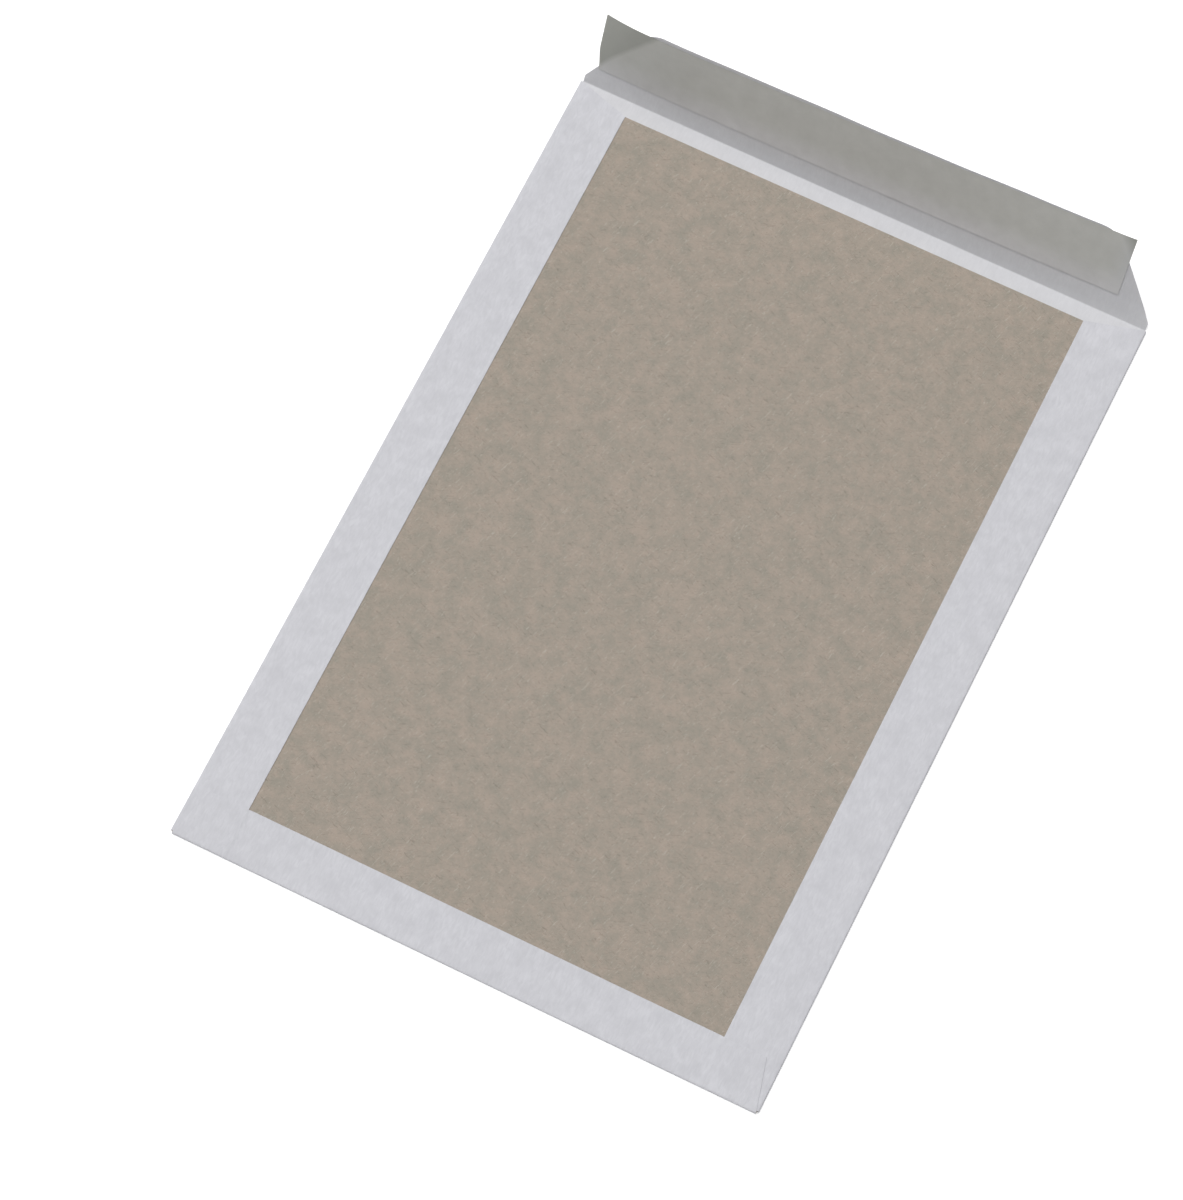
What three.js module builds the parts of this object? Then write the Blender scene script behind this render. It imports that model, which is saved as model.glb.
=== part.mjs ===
// Board-backed pocket envelope, C4, lying on its address face with the closure flap raised.
//
// One die-cut sheet of white paper is the front panel, the two side wraps, the bottom wrap and
// the closure flap. It is folded round a grey board that forms the back of the pocket, and its
// wraps are glued to the board. A band of pressure-sensitive adhesive on the flap's inner face
// lies under a release liner, which is longer than the flap's free edge at both ends.
//
// Frame: origin at the centre of the address face, +Y towards the flap, +Z up through the board.
// Sizes are in millimetres and angles in degrees.

import * as THREE from 'three';

// Closed envelope
const envelopeWidth = 229;
const envelopeHeight = 324;

// Stock thicknesses, and the air between the front panel and the board
const paperThickness = 0.15;
const boardThickness = 0.7;
const glueThickness = 0.05;
const pocketGap = 0.3;

// Wraps on the back, measured in from the envelope's outer edges
const leftWrapWidth = 21.3;
const rightWrapWidth = 22.3;
const bottomWrapWidth = 19.6;
const bottomWrapTaper = 5;

// Throat: from the envelope's top edge down to the board's top edge
const throatDepth = 7;

// Clearances between the folded layers
const cornerClearance = 0.3;
const layerClearance = 0.05;
const wrapStepLength = 1.5;

// Closure flap, measured along the paper from its crease
const flapDepth = 36;
const flapShoulder = 2.5;
const flapSideSlope = 0.64;
const flapCornerRadius = 10;
const creaseRadius = 0.5;

// Angle from flat open at the two ends of the crease, and how much further the flap has curled
// by its free edge
const flapAngleLeft = 67.3;
const flapAngleRight = 59;
const flapCurl = 6;

// Release liner: its ends are measured in from the envelope's sides and its long edge from the
// flap's free edge, which it lies a little askew of. Its unbacked ends curl back to a radius.
const linerThickness = 0.06;
const linerWidth = 26.5;
const linerLeftInset = 5;
const linerRightInset = 14.7;
const linerEdgeInsetLeft = 1.7;
const linerEdgeInsetRight = 0.4;
const linerEndRadius = 100;

// Adhesive under the liner, kept back from the liner's long edges and from the flap's sides
const adhesiveThickness = 0.08;
const adhesiveInset = 3;
const adhesiveEndInset = 5;

// Clearance between the layers on the flap
const stickGap = 0.1;

// Glue under the wraps, kept back from their edges
const glueInset = 2.5;

// Mesh steps
const bendSteps = 8;
const creaseSteps = 5;
const flapColumns = 24;
const flapRows = 6;
const cornerSteps = 6;
const linerColumns = 42;
const linerRows = 6;
const adhesiveColumns = 20;
const adhesiveRows = 2;
const stepColumns = 4;

const halfWidth = envelopeWidth / 2;
const halfHeight = envelopeHeight / 2;
const leftWrapEdge = leftWrapWidth - halfWidth;
const rightWrapEdge = halfWidth - rightWrapWidth;
const bottomWrapEdge = bottomWrapWidth - halfHeight;

// Levels of the stack, from the address face up
const boardUnderside = paperThickness + pocketGap;
const boardTop = boardUnderside + boardThickness;
const wrapUnderside = boardTop + glueThickness;

// Side folds: half a turn round the board's edge
const sideRadius = (wrapUnderside - paperThickness) / 2;
const sideFold = halfWidth - paperThickness - sideRadius;
const sideArc = Math.PI * (sideRadius + paperThickness / 2);

// Bottom fold, and the ends of the side wraps that it covers
const bottomFoldHalfWidth = sideFold - cornerClearance;
const sideWrapBottom = bottomFoldLine(bottomFoldHalfWidth) + cornerClearance;

// Flap crease
const creaseLine = halfHeight - paperThickness - creaseRadius;
const sideWrapTop = creaseLine - cornerClearance;
const creaseArc = (creaseRadius + paperThickness / 2) * radians((flapAngleLeft + flapAngleRight) / 2);
const flapFreeEdge = creaseArc + flapDepth;

function radians(degrees) {
  return THREE.MathUtils.degToRad(degrees);
}

function steps(from, to, count) {
  return Array.from({ length: count + 1 }, (_, i) => THREE.MathUtils.lerp(from, to, i / count));
}

// The bottom wrap's rise on to the side wraps: 0 between them and 1 over them
function overSideWrap(u) {
  const past = u < 0 ? leftWrapEdge - u : u - rightWrapEdge;
  return THREE.MathUtils.smoothstep(past, -wrapStepLength, 0);
}

function bottomRadius(u) {
  return sideRadius + overSideWrap(u) * (paperThickness + layerClearance) / 2;
}

function bottomFoldLine(u) {
  return paperThickness + bottomRadius(u) - halfHeight;
}

function bottomArc(u) {
  return Math.PI * (bottomRadius(u) + paperThickness / 2);
}

// Angle of the flap from flat open at a place along the crease
function flapAngle(u) {
  return radians(THREE.MathUtils.mapLinear(u, -halfWidth, halfWidth, flapAngleLeft, flapAngleRight));
}

// A fold by half a turn: how far the paper has gone outwards past the fold line, and its height
function halfTurn(run, radius, n) {
  const turn = Math.min(run / (radius + paperThickness / 2), Math.PI);
  const back = Math.max(run - Math.PI * (radius + paperThickness / 2), 0);
  const reach = radius + paperThickness - n;
  return {
    out: reach * Math.sin(turn) - back,
    height: paperThickness + radius - reach * Math.cos(turn),
  };
}

// Travel along a bend of even curvature that starts at one slope and ends at another
function bendTravel(length, startSlope, endSlope) {
  const turn = endSlope - startSlope;
  if (Math.abs(turn) < 1e-9) {
    return { along: length * Math.cos(startSlope), rise: length * Math.sin(startSlope) };
  }
  return {
    along: length * (Math.sin(endSlope) - Math.sin(startSlope)) / turn,
    rise: length * (Math.cos(startSlope) - Math.cos(endSlope)) / turn,
  };
}

// Point of the raised flap: u along the crease, run from the crease line up the paper,
// n above the paper's outer face. The paper turns fast in the crease, then curls on slowly.
function onFlap(u, run, n) {
  const inCrease = Math.min(run, creaseArc);
  const pastCrease = run - inCrease;
  const creaseSlope = flapAngle(u) * inCrease / creaseArc;
  const slope = creaseSlope + radians(flapCurl) * pastCrease / flapDepth;
  const crease = bendTravel(inCrease, 0, creaseSlope);
  const flap = bendTravel(pastCrease, creaseSlope, slope);
  const offset = n - paperThickness / 2;
  return new THREE.Vector3(
    u,
    creaseLine + crease.along + flap.along - offset * Math.sin(slope),
    paperThickness / 2 + crease.rise + flap.rise + offset * Math.cos(slope),
  );
}

// Where a point of the flat die-cut blank lies in the folded envelope.
// u and v are the blank's own coordinates and n is the height above the paper's outer face.
function foldBlank(u, v, n) {
  if (v > creaseLine) return onFlap(u, v - creaseLine, n);
  if (v < bottomFoldLine(u) && Math.abs(u) <= bottomFoldHalfWidth) {
    const turned = halfTurn(bottomFoldLine(u) - v, bottomRadius(u), n);
    return new THREE.Vector3(u, bottomFoldLine(u) - turned.out, turned.height);
  }
  if (Math.abs(u) > sideFold) {
    const turned = halfTurn(Math.abs(u) - sideFold, sideRadius, n);
    return new THREE.Vector3(Math.sign(u) * (sideFold + turned.out), v, turned.height);
  }
  return new THREE.Vector3(u, v, n);
}

// A closed sheet: patches of the flat blank, placed twice, at the lower and the upper face,
// and joined by walls along the outline
class Sheet {
  constructor(place, lower, upper) {
    this.place = place;
    this.lower = lower;
    this.upper = upper;
    this.corners = [];
    this.found = new Map();
    this.triangles = [];
  }

  corner([u, v]) {
    const key = `${u.toFixed(5)} ${v.toFixed(5)}`;
    if (!this.found.has(key)) {
      this.found.set(key, this.corners.length);
      this.corners.push([u, v]);
    }
    return this.found.get(key);
  }

  // Rows of points, each row from -u to +u and the rows from -v to +v
  addRows(rows) {
    const indexed = rows.map((row) => row.map((point) => this.corner(point)));
    for (let i = 1; i < indexed.length; i += 1) {
      for (let j = 1; j < indexed[i].length; j += 1) {
        const [a, b] = [indexed[i - 1][j - 1], indexed[i - 1][j]];
        const [c, d] = [indexed[i][j], indexed[i][j - 1]];
        this.triangles.push([a, b, c], [a, c, d]);
      }
    }
    return this;
  }

  // A flat patch, its outline given anticlockwise
  addPolygon(points) {
    const indexed = points.map((point) => this.corner(point));
    const contour = points.map(([u, v]) => new THREE.Vector2(u, v));
    for (const face of THREE.ShapeUtils.triangulateShape(contour, [])) {
      this.triangles.push(face.map((i) => indexed[i]));
    }
    return this;
  }

  geometry() {
    const layer = (n) => this.corners.flatMap(([u, v]) => this.place(u, v, n).toArray());
    const above = this.corners.length;
    const directed = new Set(this.triangles.flatMap(([a, b, c]) => [`${a} ${b}`, `${b} ${c}`, `${c} ${a}`]));
    const index = [];
    for (const [a, b, c] of this.triangles) {
      index.push(a + above, b + above, c + above, a, c, b);
      for (const [from, to] of [[a, b], [b, c], [c, a]]) {
        if (directed.has(`${to} ${from}`)) continue;
        index.push(from, to, to + above, from, to + above, from + above);
      }
    }
    const geometry = new THREE.BufferGeometry();
    const positions = [...layer(this.lower), ...layer(this.upper)];
    geometry.setAttribute('position', new THREE.Float32BufferAttribute(positions, 3));
    geometry.setIndex(index);
    geometry.computeVertexNormals();
    return geometry;
  }
}

// Half the flap's width at a distance from its crease, before its free corners are rounded
function flapSlantedHalfWidth(run) {
  return sideFold - flapSideSlope * Math.max(run - creaseArc - flapShoulder, 0);
}

// Flap outline as pairs of run from the crease line and half width
function flapOutline() {
  const slant = Math.atan(flapSideSlope);
  const tangent = flapCornerRadius * Math.tan((Math.PI / 2 - slant) / 2);
  const centreRun = flapFreeEdge - flapCornerRadius;
  const centreHalfWidth = flapSlantedHalfWidth(flapFreeEdge) - tangent;
  const slantEnd = centreRun + flapCornerRadius * Math.sin(slant);
  const straight = steps(creaseArc + flapShoulder, slantEnd, flapRows);
  const corner = steps(slant, Math.PI / 2, cornerSteps).slice(1);
  return [
    ...steps(0, creaseArc, creaseSteps).map((run) => [run, sideFold]),
    ...straight.map((run) => [run, flapSlantedHalfWidth(run)]),
    ...corner.map((turn) => [
      centreRun + flapCornerRadius * Math.sin(turn),
      centreHalfWidth + flapCornerRadius * Math.cos(turn),
    ]),
  ];
}

// Places across the bottom fold: its ends, and a smooth step at the inner edge of each side wrap
function bottomColumns() {
  return [
    -bottomFoldHalfWidth,
    ...steps(leftWrapEdge, leftWrapEdge + wrapStepLength, stepColumns),
    ...steps(rightWrapEdge - wrapStepLength, rightWrapEdge, stepColumns),
    bottomFoldHalfWidth,
  ];
}

// A row of the bottom wrap: the share of the way round the fold, and how far the wrap's slanted
// ends have come in
function bottomRow(run, inset) {
  return bottomColumns().map((u) => {
    const end = Math.abs(u) === bottomFoldHalfWidth ? inset : 0;
    return [u - Math.sign(u) * end, bottomFoldLine(u) - run(u)];
  });
}

function paperCover() {
  const sheet = new Sheet(foldBlank, 0, paperThickness);

  const across = steps(-1, 1, flapColumns);
  const flap = flapOutline().map(([run, half]) => across.map((share) => [share * half, creaseLine + run]));
  sheet.addRows(flap);

  // Bottom wrap, from its free edge back to the fold line
  const reach = (u) => bottomArc(u) + bottomWrapEdge - bottomFoldLine(u);
  const turns = steps(1, 0, bendSteps);
  const bottom = [
    bottomRow(reach, bottomWrapTaper),
    ...turns.map((share) => bottomRow((u) => share * bottomArc(u), 0)),
  ];
  sheet.addRows(bottom);

  // Side wraps: the fold's ends are square, and the wrap's top end is cut down to the board's corner
  const boardTopEdge = halfHeight - throatDepth;
  const folds = steps(0, sideArc, bendSteps).map((run) => sideFold + run);
  for (const side of [-1, 1]) {
    const wrapEdge = Math.abs(side < 0 ? leftWrapEdge : rightWrapEdge);
    const free = sideFold + sideArc + sideFold - wrapEdge;
    const lowerEnd = [...folds, free].map((u) => [side * u, sideWrapBottom]);
    const upperEnd = [...folds.map((u) => [side * u, sideWrapTop]), [side * free, boardTopEdge]];
    if (side < 0) {
      lowerEnd.reverse();
      upperEnd.reverse();
    }
    sheet.addRows([lowerEnd, upperEnd]);
  }

  // Front panel, anticlockwise from its bottom left
  sheet.addPolygon([
    ...bottom.at(-1),
    [sideFold, sideWrapBottom],
    [sideFold, sideWrapTop],
    ...flap[0].toReversed(),
    [-sideFold, sideWrapTop],
    [-sideFold, sideWrapBottom],
  ]);
  return sheet.geometry();
}

// A flat sheet between two corners and two levels
function slab(left, right, bottom, top, lower, upper) {
  const geometry = new THREE.BoxGeometry(right - left, top - bottom, upper - lower);
  geometry.translate((left + right) / 2, (bottom + top) / 2, (lower + upper) / 2);
  return geometry;
}

function backBoard() {
  const boardBottomEdge = bottomFoldLine(0);
  return slab(-sideFold, sideFold, boardBottomEdge, halfHeight - throatDepth, boardUnderside, boardTop);
}

function sideSeamGlue(side) {
  const inner = Math.abs(side < 0 ? leftWrapEdge : rightWrapEdge) + glueInset;
  const outer = sideFold - glueInset;
  const bottom = bottomWrapEdge + glueInset;
  const top = halfHeight - throatDepth - glueInset;
  const [left, right] = side < 0 ? [-outer, -inner] : [inner, outer];
  return slab(left, right, bottom, top, boardTop, wrapUnderside);
}

function bottomSeamGlue() {
  const left = leftWrapEdge + wrapStepLength + glueInset;
  const right = rightWrapEdge - wrapStepLength - glueInset;
  const bottom = bottomFoldLine(0) + glueInset;
  const top = bottomWrapEdge - glueInset;
  return slab(left, right, bottom, top, boardTop, wrapUnderside);
}

// Run of the liner's long outer edge, at a place along the crease
function linerEdgeRun(u) {
  const inset = THREE.MathUtils.mapLinear(
    u, linerLeftInset - halfWidth, halfWidth - linerRightInset, linerEdgeInsetLeft, linerEdgeInsetRight,
  );
  return flapFreeEdge - inset;
}

// A strip on the flap's inner face, between two depths down from the liner's outer edge
function flapStrip(columns, depths, level, thickness, place) {
  const sheet = new Sheet(place, level, level + thickness);
  sheet.addRows(depths.map((depth) => columns.map((u) => [u, linerEdgeRun(u) - depth])));
  return sheet.geometry();
}

function adhesiveStrip() {
  const end = flapSlantedHalfWidth(flapFreeEdge - adhesiveInset) - adhesiveEndInset;
  const depths = steps(linerWidth - adhesiveInset, adhesiveInset, adhesiveRows);
  const level = paperThickness + stickGap;
  return flapStrip(steps(-end, end, adhesiveColumns), depths, level, adhesiveThickness, onFlap);
}

// The liner's ends stand past the flap's slanted sides, with nothing behind them, and curl back
function onLiner(u, run, n) {
  const past = Math.max(Math.abs(u) - flapSlantedHalfWidth(run), 0);
  return onFlap(u, run, n - past * past / (2 * linerEndRadius));
}

function releaseLiner() {
  const columns = steps(linerLeftInset - halfWidth, halfWidth - linerRightInset, linerColumns);
  const level = paperThickness + stickGap + adhesiveThickness + stickGap;
  return flapStrip(columns, steps(linerWidth, 0, linerRows), level, linerThickness, onLiner);
}

const whitePaper = () => new THREE.MeshStandardMaterial({ color: 0xcdced3, roughness: 0.85, metalness: 0 });
const greyBoard = () => new THREE.MeshStandardMaterial({ color: 0xa2998f, roughness: 0.95, metalness: 0 });
const siliconePaper = () => new THREE.MeshStandardMaterial({ color: 0xb7b6b0, roughness: 0.5, metalness: 0 });
const hotMelt = () => new THREE.MeshStandardMaterial({ color: 0xd8d4c4, roughness: 0.4, metalness: 0 });
const seamGlue = () => new THREE.MeshStandardMaterial({ color: 0xe4e2da, roughness: 0.5, metalness: 0 });

function named(name, geometry, material) {
  const mesh = new THREE.Mesh(geometry, material);
  mesh.name = name;
  return mesh;
}

const envelope = new THREE.Group();
envelope.add(
  named('paper_cover', paperCover(), whitePaper()),
  named('back_board', backBoard(), greyBoard()),
  named('side_seam_glue_left', sideSeamGlue(-1), seamGlue()),
  named('side_seam_glue_right', sideSeamGlue(1), seamGlue()),
  named('bottom_seam_glue', bottomSeamGlue(), seamGlue()),
  named('adhesive_strip', adhesiveStrip(), hotMelt()),
  named('release_liner', releaseLiner(), siliconePaper()),
);

export default envelope;
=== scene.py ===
"""Board-backed pocket envelope, C4, lying on its address face with the closure flap raised.

The white paper cover starts as its flat die-cut blank, and every point of it is then folded
round the grey board. The board gets its cut edges, and the adhesive and the release liner
follow the flap. Lengths are in metres, in the part's own frame: the origin is the centre of the
address face, +Y runs towards the flap and +Z up through the board.
"""

import logging
import math
from collections.abc import Callable, Iterable, Sequence
from dataclasses import dataclass
from enum import Enum

import bmesh
import bpy
from bmesh.types import BMesh, BMFace
from bpy.types import ID, Material, Node, NodeSocket, NodeTree, Object
from mathutils import Matrix, Vector


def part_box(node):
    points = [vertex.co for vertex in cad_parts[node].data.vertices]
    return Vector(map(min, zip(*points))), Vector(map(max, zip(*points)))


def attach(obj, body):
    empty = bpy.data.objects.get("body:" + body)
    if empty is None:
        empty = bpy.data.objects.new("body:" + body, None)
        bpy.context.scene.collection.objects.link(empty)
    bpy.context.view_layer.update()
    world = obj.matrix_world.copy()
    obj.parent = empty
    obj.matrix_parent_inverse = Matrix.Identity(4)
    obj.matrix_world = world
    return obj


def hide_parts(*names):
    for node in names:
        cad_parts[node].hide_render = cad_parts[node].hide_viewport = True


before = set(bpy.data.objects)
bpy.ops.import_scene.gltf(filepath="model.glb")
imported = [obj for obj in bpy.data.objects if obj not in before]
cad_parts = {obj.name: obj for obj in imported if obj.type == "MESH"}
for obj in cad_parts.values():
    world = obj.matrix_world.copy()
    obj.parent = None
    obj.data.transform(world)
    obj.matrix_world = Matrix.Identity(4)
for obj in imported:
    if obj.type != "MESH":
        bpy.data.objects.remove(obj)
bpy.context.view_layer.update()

MM = 0.001

# The flat place of each point: on the paper blank, or across the flap and up it.
BLANK_MAP = "blank"
# The place across the flap, and the depth below the liner's long outer edge.
DEPTH_MAP = "depth"

# Places of the Mix node's colour sockets, because its other sockets have the same names.
COLOUR_A = 6
COLOUR_B = 7
COLOUR_RESULT = 2

CELLULOSE_IOR = 1.45
RESIN_IOR = 1.48
SHARP_ANGLE = math.radians(50.0)
CUT_TOLERANCE = 1e-7
CORNER_TOLERANCE = 1e-6
STRAIGHT = 1e-9

log = logging.getLogger("envelope")


class Side(Enum):
    """A side of the envelope, as the sign of its X."""

    LEFT = -1
    RIGHT = 1


class PaperFace(Enum):
    """A face of the cover's sheet, as its place among the cover's materials."""

    OUTER = 0
    INNER = 1


def smooth_share(value: float, start: float, end: float) -> float:
    """Share of the way from start to end, eased at both ends.

    Args:
        value: the value to place between the two.
        start: where the share is 0.
        end: where the share is 1.

    Returns:
        The share, from 0 to 1.
    """
    share = min(max((value - start) / (end - start), 0.0), 1.0)
    return share * share * (3.0 - 2.0 * share)


def between(start: float, end: float, share: float) -> float:
    """The value at a share of the way from start to end."""
    return start + (end - start) * share


def steps(start: float, end: float, count: int) -> list[float]:
    """Evenly spaced values from start to end, count steps apart."""
    return [between(start, end, i / count) for i in range(count + 1)]


@dataclass(frozen=True)
class Wave:
    """A slight wave across the flap, with its height as a share of the cockle."""

    length: float
    phase: float
    share: float = 1.0

    def at(self, u: float) -> float:
        """Share of the cockle's height that the wave has at a place across."""
        return self.share * math.sin(2 * math.pi * u / self.length + self.phase)


@dataclass(frozen=True)
class Sizes:
    """Sizes of the folded envelope, in metres and radians.

    The outer size and the levels of the stack come from the frame, the rest are set here.
    """

    half_width: float
    half_height: float
    wrap_underside: float
    board_top_edge: float
    paper: float = 0.15 * MM
    left_wrap: float = 21.3 * MM
    right_wrap: float = 22.3 * MM
    bottom_wrap: float = 19.6 * MM
    bottom_taper: float = 5.0 * MM
    corner_gap: float = 0.3 * MM
    layer_gap: float = 0.05 * MM
    step_length: float = 1.5 * MM
    glue_inset: float = 2.5 * MM
    flap_depth: float = 36.0 * MM
    flap_shoulder: float = 2.5 * MM
    flap_slope: float = 0.64
    flap_corner: float = 10.0 * MM
    crease_radius: float = 0.5 * MM
    flap_angle_left: float = math.radians(65.8)
    flap_angle_right: float = math.radians(57.5)
    end_lean: float = math.radians(1.4)
    end_softness: float = math.radians(14.0)
    crease_curl: float = math.radians(3.5)
    crease_reach: float = 9.0 * MM
    flap_curl: float = math.radians(3.0)
    cockle_height: float = 0.16 * MM
    cockle_waves: tuple[Wave, ...] = (Wave(96.0 * MM, 0.7), Wave(37.0 * MM, 2.1, 0.4))
    stick_gap: float = 0.1 * MM
    adhesive: float = 0.08 * MM
    adhesive_inset: float = 3.0 * MM
    adhesive_end_inset: float = 5.0 * MM
    liner: float = 0.06 * MM
    liner_width: float = 26.5 * MM
    liner_left_inset: float = 3.9 * MM
    liner_right_inset: float = 14.7 * MM
    liner_edge_left: float = 1.6 * MM
    liner_edge_right: float = 0.4 * MM

    @classmethod
    def from_frame(cls) -> "Sizes":
        """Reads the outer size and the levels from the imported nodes.

        Returns:
            The sizes.
        """
        cover_low, cover_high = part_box("paper_cover")
        _, board_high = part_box("back_board")
        _, glue_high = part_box("side_seam_glue_left")
        return cls(
            half_width=cover_high.x,
            half_height=-cover_low.y,
            wrap_underside=glue_high.z,
            board_top_edge=board_high.y,
        )

    @property
    def side_radius(self) -> float:
        """Inner radius of the side folds."""
        return (self.wrap_underside - self.paper) / 2

    @property
    def side_fold(self) -> float:
        """Distance from the middle to where the side folds start."""
        return self.half_width - self.paper - self.side_radius

    @property
    def side_arc(self) -> float:
        """Length of paper in a side fold."""
        return math.pi * (self.side_radius + self.paper / 2)

    @property
    def bottom_half_width(self) -> float:
        """Half the width of the bottom fold."""
        return self.side_fold - self.corner_gap

    @property
    def crease_line(self) -> float:
        """Where the flap's crease starts."""
        return self.half_height - self.paper - self.crease_radius

    @property
    def crease_arc(self) -> float:
        """Length of paper in the flap's crease."""
        mean_angle = (self.flap_angle_left + self.flap_angle_right) / 2
        return (self.crease_radius + self.paper / 2) * mean_angle

    @property
    def flap_edge(self) -> float:
        """Run from the crease line up to the flap's free edge."""
        return self.crease_arc + self.flap_depth

    @property
    def adhesive_end(self) -> float:
        """Distance from the middle to the adhesive's ends."""
        return self.flap_half_width(self.flap_edge - self.adhesive_inset) - self.adhesive_end_inset

    def wrap_edge(self, side: Side) -> float:
        """Distance from the middle to a side wrap's free edge."""
        return self.half_width - (self.left_wrap if side is Side.LEFT else self.right_wrap)

    def wrap_reach(self, side: Side) -> float:
        """Distance from the middle of the flat blank to a side wrap's free edge."""
        return 2 * self.side_fold + self.side_arc - self.wrap_edge(side)

    def flap_half_width(self, run: float) -> float:
        """Half the flap's width at a run from the crease line, before its corners are rounded."""
        return self.side_fold - self.flap_slope * max(run - self.crease_arc - self.flap_shoulder, 0.0)

    def liner_end(self, side: Side) -> float:
        """Place across the envelope of an end of the liner."""
        inset = self.liner_left_inset if side is Side.LEFT else self.liner_right_inset
        return side.value * (self.half_width - inset)

    def liner_edge(self, u: float) -> float:
        """Run of the liner's long outer edge, at a place across the envelope."""
        share = (u - self.liner_end(Side.LEFT)) / (self.liner_end(Side.RIGHT) - self.liner_end(Side.LEFT))
        return self.flap_edge - between(self.liner_edge_left, self.liner_edge_right, share)


class Fold:
    """Takes points of the flat blank, and of the strips on the flap, to the folded envelope."""

    def __init__(self, sizes: Sizes) -> None:
        """Keeps the sizes that the folds follow."""
        self.sizes = sizes

    def bottom_radius(self, u: float) -> float:
        """Inner radius of the bottom fold, larger where it passes over a side wrap.

        Args:
            u: place across the envelope.

        Returns:
            The radius.
        """
        s = self.sizes
        past = abs(u) - s.wrap_edge(Side.LEFT if u < 0 else Side.RIGHT)
        over = smooth_share(past, -s.step_length, 0.0)
        return s.side_radius + over * (s.paper + s.layer_gap) / 2

    def bottom_line(self, u: float) -> float:
        """Where the bottom fold starts, at a place across the envelope."""
        return self.sizes.paper + self.bottom_radius(u) - self.sizes.half_height

    def bottom_arc(self, u: float) -> float:
        """Length of paper in the bottom fold, at a place across the envelope."""
        return math.pi * (self.bottom_radius(u) + self.sizes.paper / 2)

    def half_turn(self, run: float, radius: float, n: float) -> tuple[float, float]:
        """A fold by half a turn round the board's edge.

        Args:
            run: length of paper past the fold line.
            radius: inner radius of the fold.
            n: height above the paper's outer face.

        Returns:
            How far the point has gone outwards past the fold line, and its height.
        """
        middle = radius + self.sizes.paper / 2
        turn = min(run / middle, math.pi)
        back = max(run - math.pi * middle, 0.0)
        reach = radius + self.sizes.paper - n
        height = self.sizes.paper + radius - reach * math.cos(turn)
        return reach * math.sin(turn) - back, height

    @staticmethod
    def bend_travel(length: float, start_slope: float, end_slope: float) -> tuple[float, float]:
        """Travel along a bend of even curvature.

        Args:
            length: length of the bend.
            start_slope: slope at its start, in radians.
            end_slope: slope at its end, in radians.

        Returns:
            The travel along the floor, and the rise.
        """
        turn = end_slope - start_slope
        if abs(turn) < STRAIGHT:
            return length * math.cos(start_slope), length * math.sin(start_slope)
        along = length * (math.sin(end_slope) - math.sin(start_slope)) / turn
        rise = length * (math.cos(start_slope) - math.cos(end_slope)) / turn
        return along, rise

    def on_flap(self, u: float, run: float, n: float) -> Vector:
        """A point of the raised flap, or of a strip that lies on it.

        The crease is sharp in the middle and softer towards its ends, where the flap leans back.

        Args:
            u: place across the envelope.
            run: length of paper from the crease line.
            n: height above the paper's outer face.

        Returns:
            The point in the part's frame.
        """
        s = self.sizes
        in_crease = min(run, s.crease_arc)
        past_crease = run - in_crease
        across = (u + s.half_width) / (2 * s.half_width)
        ends = (u / s.half_width) ** 2
        angle = between(s.flap_angle_left, s.flap_angle_right, across) - s.end_lean * ends
        softness = s.end_softness * ends**2
        crease_slope = (angle - softness) * in_crease / s.crease_arc
        near_crease = min(past_crease, s.crease_reach)
        above = past_crease - near_crease
        middle_slope = crease_slope + (s.crease_curl + softness) * near_crease / s.crease_reach
        slope = middle_slope + s.flap_curl * above / (s.flap_depth - s.crease_reach)
        bends = (
            self.bend_travel(in_crease, 0.0, crease_slope),
            self.bend_travel(near_crease, crease_slope, middle_slope),
            self.bend_travel(above, middle_slope, slope),
        )
        offset = n - s.paper / 2 + self.flap_cockle(u, past_crease)
        along = s.crease_line + sum(bend[0] for bend in bends) - offset * math.sin(slope)
        rise = s.paper / 2 + sum(bend[1] for bend in bends) + offset * math.cos(slope)
        return Vector((u, along, rise))

    def flap_cockle(self, u: float, past_crease: float) -> float:
        """Slight waves of the flap, which grow from nothing at the crease to its free edge.

        Args:
            u: place across the envelope.
            past_crease: distance up the flap from its crease.

        Returns:
            How far the flap stands off its even form.
        """
        s = self.sizes
        growth = smooth_share(past_crease, 0.0, s.flap_depth)
        return s.cockle_height * growth * sum(wave.at(u) for wave in s.cockle_waves)

    def blank_point(self, u: float, v: float, n: float) -> Vector:
        """Where a point of the flat blank lies in the folded envelope.

        Args:
            u: place across the blank.
            v: place up the blank, the same as Y on the front panel.
            n: height above the paper's outer face.

        Returns:
            The point in the part's frame.
        """
        s = self.sizes
        if v > s.crease_line:
            return self.on_flap(u, v - s.crease_line, n)
        line = self.bottom_line(u)
        if v < line and abs(u) <= s.bottom_half_width + CUT_TOLERANCE:
            out, height = self.half_turn(line - v, self.bottom_radius(u), n)
            return Vector((u, line - out, height))
        if abs(u) > s.side_fold:
            out, height = self.half_turn(abs(u) - s.side_fold, s.side_radius, n)
            return Vector((math.copysign(s.side_fold + out, u), v, height))
        return Vector((u, v, n))


def hex_colour(code: str) -> tuple[float, float, float, float]:
    """Turns an sRGB colour to a linear one.

    Args:
        code: the sRGB hex value, such as "cdced3".

    Returns:
        The linear colour, with full alpha.
    """
    shares = [int(code[i : i + 2], 16) / 255.0 for i in (0, 2, 4)]
    linear = [c / 12.92 if c <= 0.04045 else ((c + 0.055) / 1.055) ** 2.4 for c in shares]
    return (*linear, 1.0)


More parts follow.
